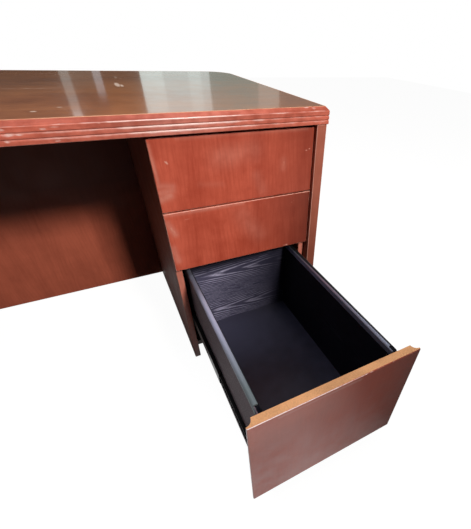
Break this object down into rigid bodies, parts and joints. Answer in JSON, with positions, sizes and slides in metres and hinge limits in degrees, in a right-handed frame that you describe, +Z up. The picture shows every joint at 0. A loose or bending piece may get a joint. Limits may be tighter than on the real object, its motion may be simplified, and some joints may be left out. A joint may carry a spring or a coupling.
{
  "type": "l-shaped desk",
  "caption": "L-shaped office desk with a reeded-edge top, a left return, and pedestals of box and file drawers that run on telescopic slides.",
  "frame": {"origin": "on the floor, at the centre of the bounding box", "axes": "+Z up; +Y from the user's side to the visitor's side; +X to the right of the user at the desk"},
  "size_m": [1.676, 1.981, 0.749],
  "materials": {
    "top_veneer": "glossy lacquered veneer",
    "edge_moulding": "satin lacquered solid wood",
    "panel_veneer": "satin lacquered veneer",
    "front_veneer": "satin lacquered veneer",
    "carcass_board": "dark board",
    "drawer_box": "black-stained ash veneer",
    "slide_steel": "black coated steel",
    "rail_steel": "grey coated steel",
    "bracket_steel": "zinc plated steel",
    "glide_plastic": "moulded nylon"
  },
  "bodies": {
    "desk": {"desk_edge_back": "edge_moulding", "desk_edge_corners": "edge_moulding", "desk_edge_ends": "edge_moulding", "desk_edge_front": "edge_moulding", "desk_pedestal_back": "panel_veneer", "desk_pedestal_end_side": "carcass_board", "desk_pedestal_floor": "carcass_board", "desk_pedestal_knee_side": "panel_veneer", "desk_pedestal_rails": "carcass_board", "desk_slide_outers": "slide_steel", "desk_top_panel": "top_veneer", "fixing_brackets": "bracket_steel", "floor_glides": "glide_plastic", "joining_plates": "bracket_steel", "left_end_panel": "panel_veneer", "modesty_panel": "panel_veneer", "return_edges": "edge_moulding", "return_end_panel": "panel_veneer", "return_modesty_panel": "panel_veneer", "return_pedestal_back": "carcass_board", "return_pedestal_floor": "carcass_board", "return_pedestal_rails": "carcass_board", "return_pedestal_sides": "panel_veneer", "return_slide_outers": "slide_steel", "return_top_panel": "top_veneer", "right_end_panel": "panel_veneer"},
    "file_drawer": {"file_drawer_bottom": "drawer_box", "file_drawer_ends": "drawer_box", "file_drawer_file_rails": "rail_steel", "file_drawer_front": "front_veneer", "file_drawer_sides": "drawer_box", "file_drawer_slide_inners": "slide_steel"},
    "file_drawer_slide_middles": {"file_drawer_slide_middles": "slide_steel"},
    "middle_drawer": {"middle_drawer_bottom": "drawer_box", "middle_drawer_ends": "drawer_box", "middle_drawer_front": "front_veneer", "middle_drawer_sides": "drawer_box", "middle_drawer_slide_inners": "slide_steel"},
    "middle_drawer_slide_middles": {"middle_drawer_slide_middles": "slide_steel"},
    "top_drawer": {"top_drawer_bottom": "drawer_box", "top_drawer_ends": "drawer_box", "top_drawer_front": "front_veneer", "top_drawer_sides": "drawer_box", "top_drawer_slide_inners": "slide_steel"},
    "top_drawer_slide_middles": {"top_drawer_slide_middles": "slide_steel"},
    "return_lower": {"return_lower_bottom": "drawer_box", "return_lower_ends": "drawer_box", "return_lower_file_rails": "rail_steel", "return_lower_front": "front_veneer", "return_lower_sides": "drawer_box", "return_lower_slide_inners": "slide_steel"},
    "return_lower_slide_middles": {"return_lower_slide_middles": "slide_steel"},
    "return_upper": {"return_upper_bottom": "drawer_box", "return_upper_ends": "drawer_box", "return_upper_file_rails": "rail_steel", "return_upper_front": "front_veneer", "return_upper_sides": "drawer_box", "return_upper_slide_inners": "slide_steel"},
    "return_upper_slide_middles": {"return_upper_slide_middles": "slide_steel"}
  },
  "joints": [
    {"name": "file_drawer_travel", "type": "slide", "parent": "desk", "child": "file_drawer", "axis": [0, -1, 0], "range_m": [-0.498, 0.052]},
    {"name": "file_drawer_middle_travel", "type": "slide", "parent": "desk", "child": "file_drawer_slide_middles", "axis": [0, -1, 0], "range_m": [-0.249, 0.026]},
    {"name": "middle_drawer_travel", "type": "slide", "parent": "desk", "child": "middle_drawer", "axis": [0, -1, 0], "range_m": [0, 0.55]},
    {"name": "middle_drawer_middle_travel", "type": "slide", "parent": "desk", "child": "middle_drawer_slide_middles", "axis": [0, -1, 0], "range_m": [0, 0.275]},
    {"name": "top_drawer_travel", "type": "slide", "parent": "desk", "child": "top_drawer", "axis": [0, -1, 0], "range_m": [0, 0.55]},
    {"name": "top_drawer_middle_travel", "type": "slide", "parent": "desk", "child": "top_drawer_slide_middles", "axis": [0, -1, 0], "range_m": [0, 0.275]},
    {"name": "return_lower_travel", "type": "slide", "parent": "desk", "child": "return_lower", "axis": [1, 0, 0], "range_m": [0, 0.5]},
    {"name": "return_lower_middle_travel", "type": "slide", "parent": "desk", "child": "return_lower_slide_middles", "axis": [1, 0, 0], "range_m": [0, 0.25]},
    {"name": "return_upper_travel", "type": "slide", "parent": "desk", "child": "return_upper", "axis": [1, 0, 0], "range_m": [0, 0.5]},
    {"name": "return_upper_middle_travel", "type": "slide", "parent": "desk", "child": "return_upper_slide_middles", "axis": [1, 0, 0], "range_m": [0, 0.25]}
  ],
  "couplings": [
    {"joint": "file_drawer_middle_travel", "follows": "file_drawer_travel", "ratio": 0.5},
    {"joint": "middle_drawer_middle_travel", "follows": "middle_drawer_travel", "ratio": 0.5},
    {"joint": "top_drawer_middle_travel", "follows": "top_drawer_travel", "ratio": 0.5},
    {"joint": "return_lower_middle_travel", "follows": "return_lower_travel", "ratio": 0.5},
    {"joint": "return_upper_middle_travel", "follows": "return_upper_travel", "ratio": 0.5}
  ]
}
